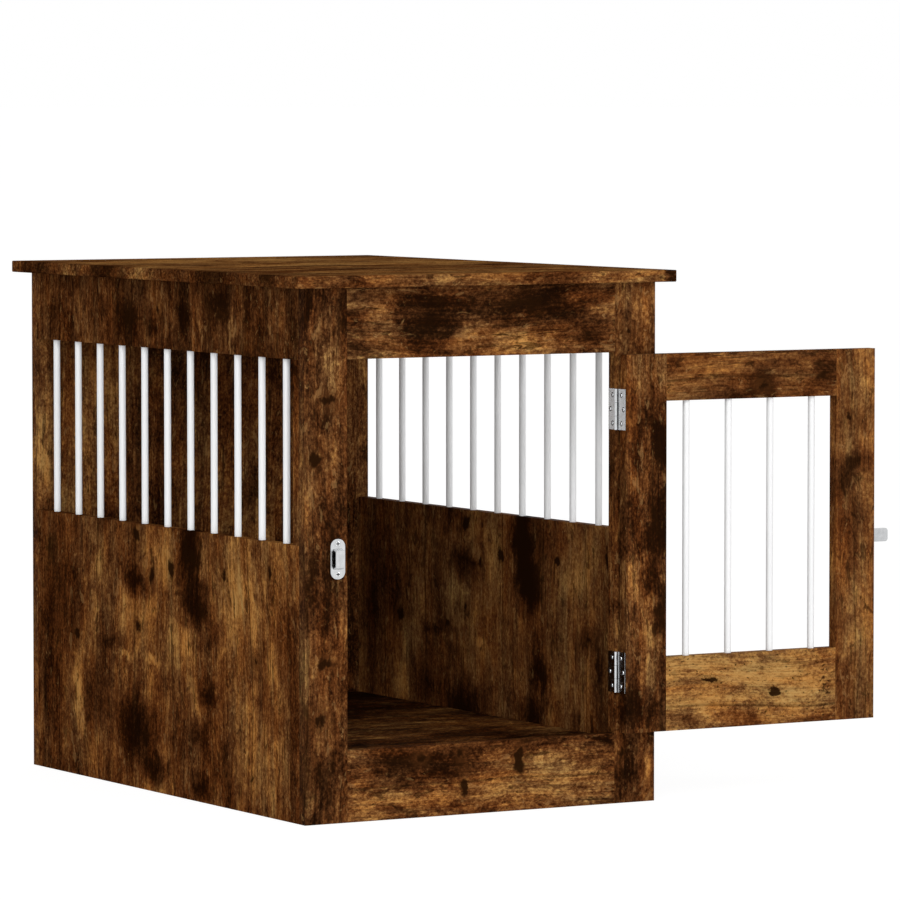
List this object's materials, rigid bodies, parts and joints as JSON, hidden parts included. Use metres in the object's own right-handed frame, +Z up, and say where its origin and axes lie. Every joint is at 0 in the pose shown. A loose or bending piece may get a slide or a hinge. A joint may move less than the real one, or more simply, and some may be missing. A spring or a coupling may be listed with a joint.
{
  "type": "dog crate",
  "caption": "Wooden furniture-style dog crate with a flat table top, barred side windows and a barred front door on butt hinges that shuts with a slide bolt.",
  "frame": {"origin": "on the ground under the middle of the cabinet's body", "axes": "+X to the right seen from the front, the front and its doorway face -Y, +Z up"},
  "size_m": [0.883, 0.808, 0.68],
  "materials": {
    "oak_board": "smoked oak decor board, satin, dark brown with golden grain",
    "bar_metal": "satin light grey",
    "hardware_metal": "zinc plated, bright"
  },
  "bodies": {
    "cabinet": {"back_panel": "oak_board", "floor_panel": "oak_board", "front_bottom_rail": "oak_board", "front_left_stile": "oak_board", "front_right_stile": "oak_board", "front_top_rail": "oak_board", "latch_keeper": "hardware_metal", "left_bar_01": "bar_metal", "left_bar_02": "bar_metal", "left_bar_03": "bar_metal", "left_bar_04": "bar_metal", "left_bar_05": "bar_metal", "left_bar_06": "bar_metal", "left_bar_07": "bar_metal", "left_bar_08": "bar_metal", "left_bar_09": "bar_metal", "left_bar_10": "bar_metal", "left_bar_11": "bar_metal", "left_floor_cleat": "oak_board", "left_front_post": "oak_board", "left_lower_board": "oak_board", "left_upper_board": "oak_board", "lower_hinge_frame_leaf": "hardware_metal", "lower_hinge_pin": "hardware_metal", "right_bar_01": "bar_metal", "right_bar_02": "bar_metal", "right_bar_03": "bar_metal", "right_bar_04": "bar_metal", "right_bar_05": "bar_metal", "right_bar_06": "bar_metal", "right_bar_07": "bar_metal", "right_bar_08": "bar_metal", "right_bar_09": "bar_metal", "right_bar_10": "bar_metal", "right_bar_11": "bar_metal", "right_floor_cleat": "oak_board", "right_front_post": "oak_board", "right_lower_board": "oak_board", "right_upper_board": "oak_board", "top_panel": "oak_board", "upper_hinge_frame_leaf": "hardware_metal", "upper_hinge_pin": "hardware_metal"},
    "door": {"door_bar_1": "bar_metal", "door_bar_2": "bar_metal", "door_bar_3": "bar_metal", "door_bar_4": "bar_metal", "door_bottom_rail": "oak_board", "door_hinge_stile": "oak_board", "door_latch_stile": "oak_board", "door_top_rail": "oak_board", "latch_base_plate": "hardware_metal", "lower_hinge_door_leaf": "hardware_metal", "upper_hinge_door_leaf": "hardware_metal"},
    "bolt": {"latch_bolt": "hardware_metal", "latch_knob": "hardware_metal"}
  },
  "joints": [
    {"name": "door_swing", "type": "hinge", "parent": "cabinet", "child": "door", "pos_m": [0.1925, -0.3865, 0.3365], "axis": [0, 0, 1], "range_deg": [-180, 0]},
    {"name": "bolt_slide", "type": "slide", "parent": "door", "child": "bolt", "axis": [-1, 0, 0], "range_m": [0, 0.028]}
  ]
}
